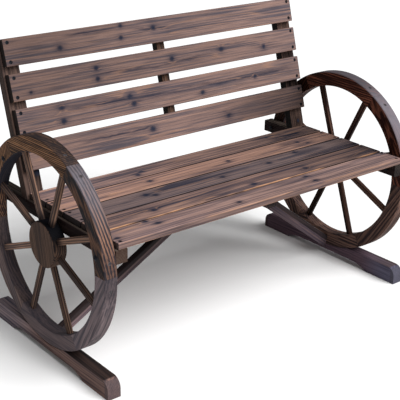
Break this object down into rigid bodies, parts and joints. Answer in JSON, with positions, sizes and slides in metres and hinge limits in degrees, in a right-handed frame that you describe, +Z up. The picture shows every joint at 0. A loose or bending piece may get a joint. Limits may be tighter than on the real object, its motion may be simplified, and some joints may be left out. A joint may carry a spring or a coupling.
{
  "type": "wagon wheel bench",
  "caption": "Slatted garden bench of charred fir with spoked wagon wheels as its arms and legs, on arched runner feet, with a leaning slat back and diagonal braces.",
  "frame": {"origin": "on the ground, midway between the wheels and straight below their hubs", "axes": "+X along the seat to the right of someone facing the bench, +Y from the front edge to the back, +Z up"},
  "size_m": [1.0564, 0.55, 0.7601],
  "materials": {
    "rim_wood": "charred and brushed fir, dark late-wood stripes, satin oil",
    "spoke_wood": "charred and brushed fir, satin oil",
    "frame_wood": "charred and brushed fir, darker than the seat, satin oil",
    "slat_wood": "charred and brushed fir, grey brown with dark knots, satin oil",
    "plank_wood": "charred and brushed fir, reddish brown with dark knots, satin oil",
    "dowel_wood": "plain beech",
    "black_steel": "black coated steel, satin"
  },
  "bodies": {
    "root": {"left_felloe_1": "rim_wood", "left_felloe_2": "rim_wood", "left_felloe_3": "rim_wood", "left_felloe_4": "rim_wood", "left_felloe_5": "rim_wood", "left_felloe_6": "rim_wood", "right_felloe_1": "rim_wood", "right_felloe_2": "rim_wood", "right_felloe_3": "rim_wood", "right_felloe_4": "rim_wood", "right_felloe_5": "rim_wood", "right_felloe_6": "rim_wood", "left_spoke_1": "spoke_wood", "left_spoke_2": "spoke_wood", "left_spoke_3": "spoke_wood", "left_spoke_4": "spoke_wood", "left_spoke_5": "spoke_wood", "left_spoke_6": "spoke_wood", "left_spoke_7": "spoke_wood", "left_spoke_8": "spoke_wood", "right_spoke_1": "spoke_wood", "right_spoke_2": "spoke_wood", "right_spoke_3": "spoke_wood", "right_spoke_4": "spoke_wood", "right_spoke_5": "spoke_wood", "right_spoke_6": "spoke_wood", "right_spoke_7": "spoke_wood", "right_spoke_8": "spoke_wood", "left_hub": "spoke_wood", "right_hub": "spoke_wood", "left_foot": "frame_wood", "left_rail": "frame_wood", "left_post": "frame_wood", "left_brace": "frame_wood", "right_foot": "frame_wood", "right_rail": "frame_wood", "right_post": "frame_wood", "right_brace": "frame_wood", "centre_bearer": "frame_wood", "back_batten": "frame_wood", "back_slat_1": "slat_wood", "back_slat_2": "slat_wood", "back_slat_3": "slat_wood", "back_slat_4": "slat_wood", "seat_plank_1": "plank_wood", "seat_plank_2": "plank_wood", "seat_plank_3": "plank_wood", "seat_plank_4": "plank_wood", "seat_plank_5": "plank_wood", "felloe_dowels": "dowel_wood", "felloe_screws": "black_steel", "plank_screws": "black_steel", "slat_screws": "black_steel", "batten_screws": "black_steel", "bearer_screws": "black_steel", "foot_screws": "black_steel", "brace_screws": "black_steel", "wheel_bolts": "black_steel", "wheel_nuts": "black_steel"}
  },
  "joints": []
}
